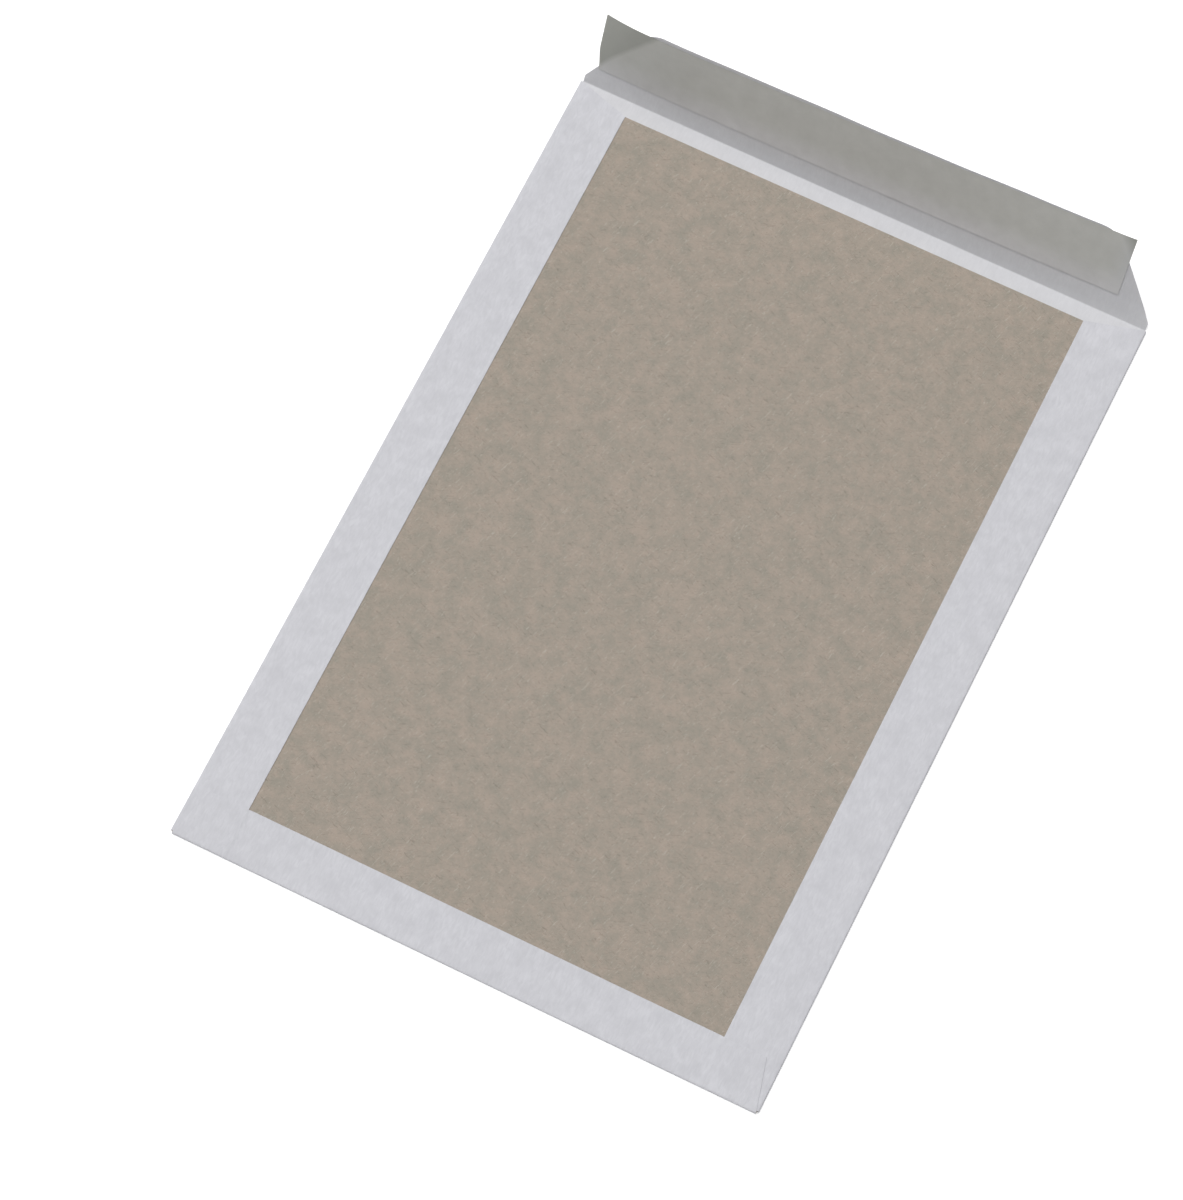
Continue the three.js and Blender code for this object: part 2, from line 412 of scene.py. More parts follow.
def add_node(
    tree: NodeTree,
    kind: str,
    inputs: dict[str | int, object] | None = None,
    **settings: object,
) -> Node:
    """Adds a node, sets it and links what feeds it.

    Args:
        tree: the node tree.
        kind: the node's type name, without the ShaderNode in front.
        inputs: by name or number, the value of an input, the output socket that feeds it, or
            the node whose first output does.
        **settings: the node's own properties.

    Returns:
        The node.
    """
    node = tree.nodes.new(f"ShaderNode{kind}")
    for name, value in settings.items():
        setattr(node, name, value)
    for key, value in (inputs or {}).items():
        source = value.outputs[0] if isinstance(value, Node) else value
        if isinstance(source, NodeSocket):
            tree.links.new(source, node.inputs[key])
        else:
            node.inputs[key].default_value = source
    return node


def new_material(name: str) -> tuple[Material, NodeTree]:
    """Makes a material with an empty node tree.

    Args:
        name: the material's name.

    Returns:
        The material and its tree.
    """
    material = bpy.data.materials.new(name)
    material.use_nodes = True
    material.node_tree.nodes.clear()
    return material, material.node_tree


def finish_surface(
    tree: NodeTree,
    mix: Node,
    relief: Node,
    depth: float,
    roughness: float,
    ior: float,
) -> None:
    """Ends a material with its shader, which has the colour and a fine relief.

    Args:
        tree: the material's node tree.
        mix: the Mix node that gives the colour.
        relief: the node that gives the height of the relief, as a share of its depth.
        depth: the depth of the relief.
        roughness: the shader's roughness.
        ior: the shader's index of refraction.
    """
    bump = add_node(tree, "Bump", {"Height": relief, "Distance": depth, "Strength": 1.0})
    colour = mix.outputs[COLOUR_RESULT]
    look = {"Base Color": colour, "Normal": bump, "Roughness": roughness, "IOR": ior}
    add_node(tree, "OutputMaterial", {"Surface": add_node(tree, "BsdfPrincipled", look)})


@dataclass(frozen=True)
class WovePaper:
    """White wove paper, uncoated: matt, with faint clouds of fibre and a fine tooth."""

    name: str
    colour: str
    cloud_colour: str
    cloud_size: float = 7.0 * MM
    tone_low: float = 0.12
    tone_high: float = 0.4
    fibre_length: float = 3.2 * MM
    fibre_width: float = 0.9 * MM
    tooth_height: float = 0.012 * MM
    roughness: float = 0.88

    def build(self) -> Material:
        """Makes the material, whose pattern lies on the flat blank and folds with it.

        Returns:
            The material.
        """
        material, tree = new_material(self.name)
        blank = add_node(tree, "UVMap", uv_map=BLANK_MAP)
        # Clouds: the uneven spread of the pulp, seen as a tone a shade apart.
        pulp = {"Vector": blank, "Scale": 1.0 / self.cloud_size, "Detail": 3.0, "Roughness": 0.6}
        cloud = add_node(tree, "TexNoise", pulp)
        # Fibres: drawn longer and wider than real ones, so that they show at arm's length.
        stretch = (1.0 / self.fibre_width, 1.0 / self.fibre_length, 1.0)
        along = add_node(tree, "Mapping", {"Vector": blank, "Scale": stretch})
        fibre = add_node(tree, "TexNoise", {"Vector": along, "Scale": 1.0, "Detail": 4.0, "Distortion": 0.8})
        tone = add_node(tree, "Math", {0: cloud, 1: fibre}, operation="MULTIPLY")
        limits = {"From Min": self.tone_low, "From Max": self.tone_high}
        spread = add_node(tree, "MapRange", {"Value": tone, **limits})
        shades = {COLOUR_A: hex_colour(self.cloud_colour), COLOUR_B: hex_colour(self.colour)}
        mix = add_node(tree, "Mix", {"Factor": spread, **shades}, data_type="RGBA")
        finish_surface(tree, mix, fibre, self.tooth_height, self.roughness, CELLULOSE_IOR)
        return material


@dataclass(frozen=True)
class StrayFibres:
    """One kind of stray fibre in the board: its colour, direction in radians and strength."""

    colour: str
    turn: float
    strength: float


@dataclass(frozen=True)
class GreyBoard:
    """Grey board, pressed from recycled pulp: matt and felted, with stray fibres in it."""

    name: str = "recycled_grey_board"
    warm_colour: str = "a99c90"
    cool_colour: str = "989287"
    patch_size: float = 7.0 * MM
    patch_low: float = 0.38
    patch_high: float = 0.62
    fibres: tuple[StrayFibres, ...] = (
        StrayFibres(colour="7d756b", turn=0.35, strength=0.55),
        StrayFibres(colour="bdb6ab", turn=1.9, strength=0.5),
        StrayFibres(colour="7d756b", turn=2.7, strength=0.4),
    )
    fibre_length: float = 2.6 * MM
    fibre_width: float = 0.45 * MM
    fibre_low: float = 0.62
    fibre_high: float = 0.74
    felt_size: float = 1.3 * MM
    felt_height: float = 0.03 * MM
    roughness: float = 0.95

    def on_fibre(self, tree: NodeTree, place: NodeSocket, turn: float) -> Node:
        """Where short stray fibres lie that run roughly one way.

        Args:
            tree: the material's node tree.
            place: the coordinates.
            turn: direction of the fibres, in radians.

        Returns:
            A node that gives 1 on a fibre and 0 beside it.
        """
        turned = add_node(tree, "Mapping", {"Vector": place, "Rotation": (0.0, 0.0, turn)})
        across = 1.0 / self.fibre_width
        stretch = (1.0 / self.fibre_length, across, across)
        drawn = add_node(tree, "Mapping", {"Vector": turned, "Scale": stretch})
        noise = add_node(tree, "TexNoise", {"Vector": drawn, "Scale": 1.0, "Detail": 1.0, "Distortion": 1.4})
        limits = {"From Min": self.fibre_low, "From Max": self.fibre_high}
        return add_node(tree, "MapRange", {"Value": noise, **limits})

    def build(self) -> Material:
        """Makes the material, placed by the board's own coordinates.

        Returns:
            The material.
        """
        material, tree = new_material(self.name)
        place = add_node(tree, "TexCoord").outputs["Object"]
        # Patches: warmer and cooler pulp, which mixes the shades of many waste papers.
        pulp = {"Vector": place, "Scale": 1.0 / self.patch_size, "Detail": 6.0, "Roughness": 0.85}
        limits = {"From Min": self.patch_low, "From Max": self.patch_high}
        patches = add_node(tree, "MapRange", {"Value": add_node(tree, "TexNoise", pulp), **limits})
        shades = {COLOUR_A: hex_colour(self.cool_colour), COLOUR_B: hex_colour(self.warm_colour)}
        mix = add_node(tree, "Mix", {"Factor": patches, **shades}, data_type="RGBA")
        # Fibres: longer and wider than real ones, so that they show at arm's length.
        for kind in self.fibres:
            there = self.on_fibre(tree, place, kind.turn)
            share = add_node(tree, "Math", {0: there, 1: kind.strength}, operation="MULTIPLY")
            shades = {COLOUR_A: mix.outputs[COLOUR_RESULT], COLOUR_B: hex_colour(kind.colour)}
            mix = add_node(tree, "Mix", {"Factor": share, **shades}, data_type="RGBA")
        # Felt: the soft grain that the wet press leaves.
        grain = {"Vector": place, "Scale": 1.0 / self.felt_size, "Detail": 5.0, "Roughness": 0.65}
        felt = add_node(tree, "TexNoise", grain)
        finish_surface(tree, mix, felt, self.felt_height, self.roughness, CELLULOSE_IOR)
        return material


@dataclass(frozen=True)
class BackingEnd:
    """How the white backing ends behind one end of the liner.

    The backing ends along a line that leans by extra_slope more than the flap's side, start
    further out than it. The liner darkens over reach past it, partly because nothing white backs it and
    partly as painted shade, and by a painted shade in front of it, towards the liner's ends.
    """

    side: Side
    extra_slope: float
    start: float
    reach: float
    # Depth of the painted shade in front of the backing's end.
    end_shade: float


@dataclass(frozen=True)
class SiliconePaper:
    """Silicone-coated glassine: thin, greyish and satin, darker where no white paper backs it. Its colour
    also holds painted shade, darker past the flap and towards its ends, and painted light, lighter at its
    right end and along its lower edge.
    """

    sizes: Sizes
    name: str = "silicone_coated_glassine"
    backed_colour: str = "c8c8c4"
    # Lower edge: lighter, partly the white paper showing through the liner and partly painted light from the
    # bright throat.
    margin_show_and_light_colour: str = "d5d4d5"
    # Right end: painted light, a lighter and bluer tone where more light reaches in from the side.
    end_light_colour: str = "c7c8ca"
    # Past the flap: darker, partly because nothing white backs the glassine and partly painted shade.
    unbacked_and_shade_colour: str = "a0a19b"
    backing_ends: tuple[BackingEnd, ...] = (
        BackingEnd(Side.LEFT, extra_slope=0.2, start=0.7 * MM, reach=4.0 * MM, end_shade=0.31),
        BackingEnd(Side.RIGHT, extra_slope=0.0, start=0.0, reach=6.0 * MM, end_shade=0.12),
    )
    # Painted shade: the liner darker towards its ends.
    end_shade_start: float = 50.0 * MM
    end_shade_stop: float = 98.0 * MM
    # Where the painted light at the right end and the lighter lower edge, painted light in part, fade in.
    end_light_start: float = 92.0 * MM
    end_light_stop: float = 104.0 * MM
    margin_show_and_light_width: float = 12.0 * MM
    cloud_colour: str = "8f908a"
    cloud_size: float = 6.0 * MM
    cloud_low: float = 0.3
    cloud_high: float = 0.7
    cloud_depth: float = 0.14
    streak_length: float = 24.0 * MM
    streak_width: float = 0.8 * MM
    streak_height: float = 0.006 * MM
    roughness: float = 0.5

    def unbacked_and_shaded(self, tree: NodeTree, strip: Node) -> Node:
        """Where nothing white lies behind the liner, darkened further by painted shade.

        Args:
            tree: the material's node tree.
            strip: the liner's map, with the place across and the run up the flap.

        Returns:
            A node that gives 0 in front of the flap, a little more towards the liner's ends as painted
            shade, and rises to 1 past the flap's slanted sides, where the darkening is partly the missing
            white backing and partly painted shade.
        """
        s = self.sizes
        parts = add_node(tree, "SeparateXYZ", {"Vector": strip}).outputs
        corner = s.side_fold + s.flap_slope * (s.crease_arc + s.flap_shoulder)
        shares = []
        for end in self.backing_ends:
            sign = float(end.side.value)
            out = add_node(tree, "Math", {0: parts["X"], 1: sign}, operation="MULTIPLY")
            lean = {0: parts["Y"], 1: s.flap_slope + end.extra_slope, 2: out}
            slanted = add_node(tree, "Math", lean, operation="MULTIPLY_ADD")
            start = corner + end.start
            past = {"Value": slanted, "From Min": start, "From Max": start + end.reach}
            shares.append(add_node(tree, "MapRange", past))
            # Painted shade towards the liner's ends.
            limits = {"From Min": self.end_shade_start, "From Max": self.end_shade_stop, "To Max": end.end_shade}
            end_shade_range = {"Value": out, **limits}
            shares.append(add_node(tree, "MapRange", end_shade_range, interpolation_type="SMOOTHSTEP"))
        most = shares[0]
        for share in shares[1:]:
            most = add_node(tree, "Math", {0: most, 1: share}, operation="MAXIMUM")
        return most

    def light_and_show_through(self, tree: NodeTree) -> list[Node]:
        """Where the liner is lighter: at its right end as painted light, and along its lower edge partly
        where the white paper shows through it and partly as painted light from the bright throat.

        Args:
            tree: the material's node tree.

        Returns:
            A node that rises to 1 towards the liner's right end, and one for its lower edge.
        """
        width = self.sizes.liner_width
        depth = add_node(tree, "UVMap", uv_map=DEPTH_MAP)
        parts = add_node(tree, "SeparateXYZ", {"Vector": depth}).outputs
        lighter_shares = []
        for value, start, stop in (
            (parts["X"], self.end_light_start, self.end_light_stop),
            (parts["Y"], width - self.margin_show_and_light_width, width),
        ):
            limits = {"Value": value, "From Min": start, "From Max": stop}
            lighter_shares.append(add_node(tree, "MapRange", limits, interpolation_type="SMOOTHSTEP"))
        return lighter_shares

    def build(self) -> Material:
        """Makes the material, whose pattern lies along the strip.

        Returns:
            The material.
        """
        material, tree = new_material(self.name)
        strip = add_node(tree, "UVMap", uv_map=BLANK_MAP)
        # Formation: the cloudy spread of the pulp, which shows in a translucent paper.
        pulp = {"Vector": strip, "Scale": 1.0 / self.cloud_size, "Detail": 3.0, "Roughness": 0.6}
        cloud = add_node(tree, "TexNoise", pulp)
        limits = {"From Min": self.cloud_low, "From Max": self.cloud_high, "To Max": self.cloud_depth}
        clouded = add_node(tree, "MapRange", {"Value": cloud, **limits})
        end_light_share, margin_show_and_light_share = self.light_and_show_through(tree)
        colour = hex_colour(self.backed_colour)
        # Painted light at the right end and along the lower edge, painted shade past the flap and towards
        # the ends; the clouds are the glassine's own tone.
        for share, other in (
            (end_light_share, self.end_light_colour),
            (margin_show_and_light_share, self.margin_show_and_light_colour),
            (self.unbacked_and_shaded(tree, strip), self.unbacked_and_shade_colour),
            (clouded, self.cloud_colour),
        ):
            shades = {COLOUR_A: colour, COLOUR_B: hex_colour(other)}
            mix = add_node(tree, "Mix", {"Factor": share, **shades}, data_type="RGBA")
            colour = mix.outputs[COLOUR_RESULT]
        # Streaks: the calender's fine lines along the web, wider here than on the real strip.
        stretch = (1.0 / self.streak_length, 1.0 / self.streak_width, 1.0)
        along = add_node(tree, "Mapping", {"Vector": strip, "Scale": stretch})
        streak = add_node(tree, "TexNoise", {"Vector": along, "Scale": 1.0, "Detail": 3.0})
        finish_surface(tree, mix, streak, self.streak_height, self.roughness, CELLULOSE_IOR)
        return material


@dataclass(frozen=True)
class Adhesive:
    """Adhesive laid down by a roller: slightly glossy, with the ribs that the roller leaves."""

    name: str
    colour: str
    thin_colour: str
    roughness: float
    rib_spacing: float = 1.6 * MM
    rib_height: float = 0.01 * MM

    def build(self) -> Material:
        """Makes the material, placed by the piece's own coordinates.

        Returns:
            The material.
        """
        material, tree = new_material(self.name)
        place = add_node(tree, "TexCoord").outputs["Object"]
        # Ribs: the film is thinner between them, where the paper shows through.
        roller = {"Vector": place, "Scale": 1.0 / self.rib_spacing, "Detail": 2.0, "Distortion": 0.5}
        ribs = add_node(tree, "TexNoise", roller)
        shades = {COLOUR_A: hex_colour(self.thin_colour), COLOUR_B: hex_colour(self.colour)}
        mix = add_node(tree, "Mix", {"Factor": ribs, **shades}, data_type="RGBA")
        finish_surface(tree, mix, ribs, self.rib_height, self.roughness, RESIN_IOR)
        return material


def unit_grid(columns: int, rows: int) -> BMesh:
    """Makes a flat square of side 1 round the origin.

    Args:
        columns: number of its cells along X.
        rows: number of its cells along Y.

    Returns:
        The mesh.
    """
    bm = bmesh.new()
    bmesh.ops.create_grid(bm, x_segments=columns, y_segments=rows, size=0.5)
    return bm


def fill_box(bm: BMesh, low: Vector, high: Vector) -> None:
    """Stretches and moves a shape of side 1 round the origin until it fills a box."""
    bmesh.ops.scale(bm, vec=high - low, verts=bm.verts)
    bmesh.ops.translate(bm, vec=(low + high) / 2, verts=bm.verts)


def cut(
    bm: BMesh,
    faces: Iterable[BMFace],
    point: Sequence[float],
    normal: Sequence[float],
    **clear: bool,
) -> None:
    """Cuts faces, with their edges and corners, along a plane.

    Args:
        bm: the mesh.
        faces: the faces to cut.
        point: a point of the plane.
        normal: the plane's normal.
        **clear: clear_outer or clear_inner, to delete one side.
    """
    chosen = list(faces)
    edges = {edge for face in chosen for edge in face.edges}
    corners = {vert for face in chosen for vert in face.verts}
    geom = [*corners, *edges, *chosen]
    bmesh.ops.bisect_plane(bm, geom=geom, dist=CUT_TOLERANCE, plane_co=point, plane_no=normal, **clear)


def cut_across(bm: BMesh, axis: int, places: Iterable[float]) -> None:
    """Cuts all faces square to an axis.

    Args:
        bm: the mesh.
        axis: the axis, 0 for X or 1 for Y.
        places: the places of the cuts along the axis.
    """
    normal = Matrix.Identity(3)[axis]
    for place in places:
        cut(bm, bm.faces, place * normal, normal)


def thicken(bm: BMesh, thickness: float) -> None:
    """Gives a sheet its thickness, on the side that its faces point away from."""
    bmesh.ops.solidify(bm, geom=list(bm.faces), thickness=thickness)


def link_object(name: str, data: ID) -> Object:
    """Links a new object to the scene.

    Args:
        name: the object's name.
        data: its mesh, lamp or camera.

    Returns:
        The object.
    """
    thing = bpy.data.objects.new(name, data)
    bpy.context.scene.collection.objects.link(thing)
    return thing


def to_object(bm: BMesh, name: str, materials: list[Material]) -> Object:
    """Turns a finished mesh into an object at the origin.

    Args:
        bm: the mesh, which is freed.
        name: the piece's name.
        materials: its materials in order.

    Returns:
        The object, linked to the scene.
    """
    for face in bm.faces:
        face.smooth = True
    for edge in bm.edges:
        edge.smooth = edge.calc_face_angle(0.0) < SHARP_ANGLE
    mesh = bpy.data.meshes.new(name)
    bm.to_mesh(mesh)
    bm.free()
    for material in materials:
        mesh.materials.append(material)
    return link_object(name, mesh)


@dataclass
class PaperCover:
    """The cover: one sheet of white paper, with front panel, wraps and closure flap."""

    sizes: Sizes
    cell: float = 3.0 * MM
    fold_steps: int = 12
    crease_steps: int = 8
    corner_steps: int = 10
    fine_steps: int = 4
    wrap_lift: float = 0.07 * MM
    lift_ripple: float = 0.25
    ripple_length: float = 43.0 * MM
    ripple_width: float = 61.0 * MM
    corner_reach: float = 4.0 * MM

    @property
    def fold(self) -> Fold:
        """The folds that the blank follows."""
        return Fold(self.sizes)

    @property
    def bottom_fold(self) -> tuple[float, float]:
        """Lowest and highest line of the bottom fold on the flat blank."""
        end = self.sizes.half_width
        return self.fold.bottom_line(0.0) - self.fold.bottom_arc(end), self.fold.bottom_line(end)

    @property
    def bottom_reach(self) -> float:
        """Where the bottom wrap's free edge is on the flat blank."""
        edge = self.sizes.bottom_wrap - self.sizes.half_height
        return 2 * self.fold.bottom_line(0.0) - self.fold.bottom_arc(0.0) - edge

    @property
    def side_wrap_ends(self) -> tuple[float, float]:
        """Lowest and highest line of the side wraps on the flat blank."""
        s = self.sizes
        return self.bottom_fold[1] + s.corner_gap, s.crease_line - s.corner_gap

    def rows(self) -> list[float]:
        """Lines across the blank: the folds in fine steps and the panels in cells.

        Returns:
            Their places up the blank.
        """
        s = self.sizes
        fold_low, fold_high = self.bottom_fold
        crease_end = s.crease_line + s.crease_arc
        return [
            *steps(self.bottom_reach, fold_low, round(s.bottom_wrap / self.cell)),
            *steps(fold_low, fold_high, self.fold_steps),
            *steps(fold_high, s.crease_line, round((s.crease_line - fold_high) / self.cell)),
            *steps(s.crease_line, crease_end, self.crease_steps),
            *steps(crease_end, s.crease_line + s.flap_edge, round(s.flap_depth / self.cell)),
        ]

    def columns(self) -> list[float]:
        """Lines up the blank: the folds and free margins in fine steps, the panels in cells.

        Returns:
            Their places across the blank.
        """
        s = self.sizes
        fold_end = s.side_fold + s.side_arc
        lines = steps(-s.side_fold, s.side_fold, round(2 * s.side_fold / self.cell))
        for side in Side:
            reach = s.wrap_reach(side)
            edge = s.wrap_edge(side)
            outwards = [
                *steps(edge - s.step_length, edge, self.fine_steps),
                *steps(s.side_fold, fold_end, self.fold_steps),
                *steps(fold_end, reach, round((reach - fold_end) / self.cell)),
                *steps(reach - s.glue_inset, reach, self.fine_steps),
            ]
            lines += [side.value * u for u in outwards]
        return lines

    def is_waste(self, face: BMFace) -> bool:
        """Whether a face of the uncut sheet falls away when the blank is die-cut.

        Args:
            face: the face.

        Returns:
            True beside the flap and beside the bottom wrap.
        """
        s = self.sizes
        centre = face.calc_center_median()
        wrap_bottom, wrap_top = self.side_wrap_ends
        beside_flap = centre.y > wrap_top and abs(centre.x) > s.side_fold
        beside_bottom = centre.y < wrap_bottom and abs(centre.x) > s.bottom_half_width
        return beside_flap or beside_bottom

    def uncut_sheet(self) -> BMesh:
        """Makes the rectangle of paper that the blank is cut from.

        Returns:
            The sheet.
        """
        s = self.sizes
        low = Vector((-s.wrap_reach(Side.LEFT), self.bottom_reach, 0.0))
        high = Vector((s.wrap_reach(Side.RIGHT), s.crease_line + s.flap_edge, 0.0))
        bm = unit_grid(1, 1)
        fill_box(bm, low, high)
        return bm

    def die_cut(self) -> BMesh:
        """Cuts the flat blank: notched corners, slanted ends and the flap's round corners.

        Returns:
            The blank.
        """
        s = self.sizes
        bm = self.uncut_sheet()
        fold_end = s.side_fold + s.side_arc
        for u in (s.bottom_half_width, s.side_fold, fold_end):
            cut_across(bm, 0, (u, -u))
        wrap_bottom, wrap_top = self.side_wrap_ends
        bottom_end = self.bottom_fold[0]
        shoulder = s.crease_line + s.crease_arc + s.flap_shoulder
        cut_across(bm, 1, (bottom_end, wrap_bottom, wrap_top, s.crease_line, shoulder))
        waste = [face for face in bm.faces if self.is_waste(face)]
        bmesh.ops.delete(bm, geom=waste, context="FACES")

        for side in Side:
            out = side.value
            wraps = [f for f in bm.faces if out * f.calc_center_median().x > fold_end]
            across = s.wrap_reach(side) - fold_end
            down = wrap_top - s.board_top_edge
            cut(bm, wraps, (out * fold_end, wrap_top, 0.0), (out * down, across, 0.0), clear_outer=True)
            bottom = [f for f in bm.faces if f.calc_center_median().y < bottom_end]
            depth = bottom_end - self.bottom_reach
            corner = (out * s.bottom_half_width, bottom_end, 0.0)
            cut(bm, bottom, corner, (out * depth, -s.bottom_taper, 0.0), clear_outer=True)
            flap = [f for f in bm.faces if f.calc_center_median().y > shoulder]
            corner = (out * s.side_fold, shoulder, 0.0)
            cut(bm, flap, corner, (out, s.flap_slope, 0.0), clear_outer=True)
        self.round_flap_corners(bm)
        return bm

    def round_flap_corners(self, bm: BMesh) -> None:
        """Rounds the two free corners of the flap to the corner radius.

        Args:
            bm: the flat blank.
        """
        s = self.sizes
        top = s.crease_line + s.flap_edge - CORNER_TOLERANCE
        half = s.flap_half_width(s.flap_edge) - CORNER_TOLERANCE
        corners = [v for v in bm.verts if v.co.y > top and abs(v.co.x) > half]
        turn = math.pi / 2 - math.atan(s.flap_slope)
        bmesh.ops.bevel(
            bm,
            geom=corners,
            offset=s.flap_corner * math.tan(turn / 2),
            offset_type="OFFSET",
            segments=self.corner_steps,
            affect="VERTICES",
            profile=0.5,
            material=-1,
        )

    def lift(self, u: float, v: float) -> float:
        """How far a wrap's unglued margin stands off the board.

        Args:
            u: place across the blank.
            v: place up the blank.

        Returns:
            The lift, 0 where the wrap is glued.
        """
        s = self.sizes
        across = math.cos(2 * math.pi * u / self.ripple_width)
        wave = math.sin(2 * math.pi * v / self.ripple_length) * across
        ripple = 1.0 - self.lift_ripple * (1.0 - wave)
        if v < self.fold.bottom_line(u):
            margin = v - self.bottom_reach
        elif abs(u) > s.side_fold:
            margin = s.wrap_reach(Side.LEFT if u < 0 else Side.RIGHT) - abs(u)
            clear = s.bottom_wrap - s.half_height
            ripple *= smooth_share(v, clear, clear + self.corner_reach)
        else:
            return 0.0
        return self.wrap_lift * ripple * smooth_share(margin, s.glue_inset, 0.0)

    def build(self) -> Object:
        """Cuts, folds and thickens the sheet, and gives each face of it its paper.

        Returns:
            The cover.
        """
        s = self.sizes
        bm = self.die_cut()
        cut_across(bm, 0, self.columns())
        cut_across(bm, 1, self.rows())
        blank_map = bm.loops.layers.uv.new(BLANK_MAP)
        for face in bm.faces:
            face.material_index = PaperFace.INNER.value
            for loop in face.loops:
                loop[blank_map].uv = loop.vert.co.xy
        for vert in bm.verts:
            u, v = vert.co.xy
            vert.co = self.fold.blank_point(u, v, s.paper - self.lift(u, v))
        bm.normal_update()
        inner = set(bm.faces)
        thicken(bm, s.paper)
        for face in bm.faces:
            if face not in inner:
                face.material_index = PaperFace.OUTER.value
        outside = WovePaper("white_wove_paper_outside", colour="d2d2d7", cloud_colour="c6c6cb")
        inside = WovePaper("white_wove_paper_inside", colour="d3d3d6", cloud_colour="cccccf")
        piece = to_object(bm, "folded_paper_cover", [outside.build(), inside.build()])
        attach(piece, "root")
        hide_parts("paper_cover")
        return piece


@dataclass
class BackBoard:
    """The grey board at the back of the pocket, with its edges crushed a little by the cutter."""

    edge_round: float = 0.12 * MM
    edge_steps: int = 3
    cell: float = 6.0 * MM

    def build(self) -> Object:
        """Makes the board in the space that its node has.

        Returns:
            The board.
        """
        low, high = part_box("back_board")
        bm = bmesh.new()
        bmesh.ops.create_cube(bm, size=1.0)
        fill_box(bm, low, high)
        bmesh.ops.bevel(
            bm,
            geom=list(bm.edges),
            offset=self.edge_round,
            offset_type="OFFSET",
            segments=self.edge_steps,
            affect="EDGES",
            profile=0.5,
            material=-1,
        )
        inset = 2 * self.edge_round
        for axis in (0, 1):
            count = round((high[axis] - low[axis]) / self.cell)
            cut_across(bm, axis, steps(low[axis] + inset, high[axis] - inset, count))
        piece = to_object(bm, "die_cut_board", [GreyBoard().build()])
        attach(piece, "root")
        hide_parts("back_board")
        return piece


@dataclass
class FlapStrip:
    """A strip on the flap's inner face, laid along the liner's long outer edge.

    Its level is that of its underside above the flap's outer face, and its two depths are
    measured down the flap from the liner's edge.
    """

    sizes: Sizes
    level: float
    thickness: float
    top_depth: float
    bottom_depth: float
    left_end: float
    right_end: float
    columns: int
    rows: int

    def mesh(self, place: Callable[[float, float, float], Vector]) -> BMesh:
        """Makes the strip from a flat grid.

        Args:
            place: takes the place across, the run and the level to a point of the folded envelope.

        Returns:
            The closed strip.
        """
        bm = unit_grid(self.columns, self.rows)
        strip_map = bm.loops.layers.uv.new(BLANK_MAP)
        depth_map = bm.loops.layers.uv.new(DEPTH_MAP)
        flat = {}
        for vert in bm.verts:
            u = between(self.left_end, self.right_end, vert.co.x + 0.5)
            depth = between(self.bottom_depth, self.top_depth, vert.co.y + 0.5)
            flat[vert] = (u, self.sizes.liner_edge(u) - depth, depth)
        for face in bm.faces:
            for loop in face.loops:
                u, run, depth = flat[loop.vert]
                loop[strip_map].uv = (u, run)
                loop[depth_map].uv = (u, depth)
        for vert, (u, run, _) in flat.items():
            vert.co = place(u, run, self.level + self.thickness)
        bm.normal_update()
        thicken(bm, self.thickness)
        return bm


@dataclass
class FlapAdhesive:
    """The band of hot-melt adhesive under the release liner."""

    sizes: Sizes
    columns: int = 120
    rows: int = 12

    def build(self) -> Object:
        """Lays the band on the flap.

        Returns:
            The band.
        """
        s = self.sizes
        strip = FlapStrip(
            sizes=s,
            level=s.paper + s.stick_gap,
            thickness=s.adhesive,
            top_depth=s.adhesive_inset,
            bottom_depth=s.liner_width - s.adhesive_inset,
            left_end=-s.adhesive_end,
            right_end=s.adhesive_end,
            columns=self.columns,
            rows=self.rows,
        )
        bm = strip.mesh(Fold(s).on_flap)
        finish = Adhesive("hot_melt_adhesive", colour="d8d4c4", thin_colour="cdc8b6", roughness=0.38)
        piece = to_object(bm, "hot_melt_band", [finish.build()])
        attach(piece, "root")
        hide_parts("adhesive_strip")
        return piece


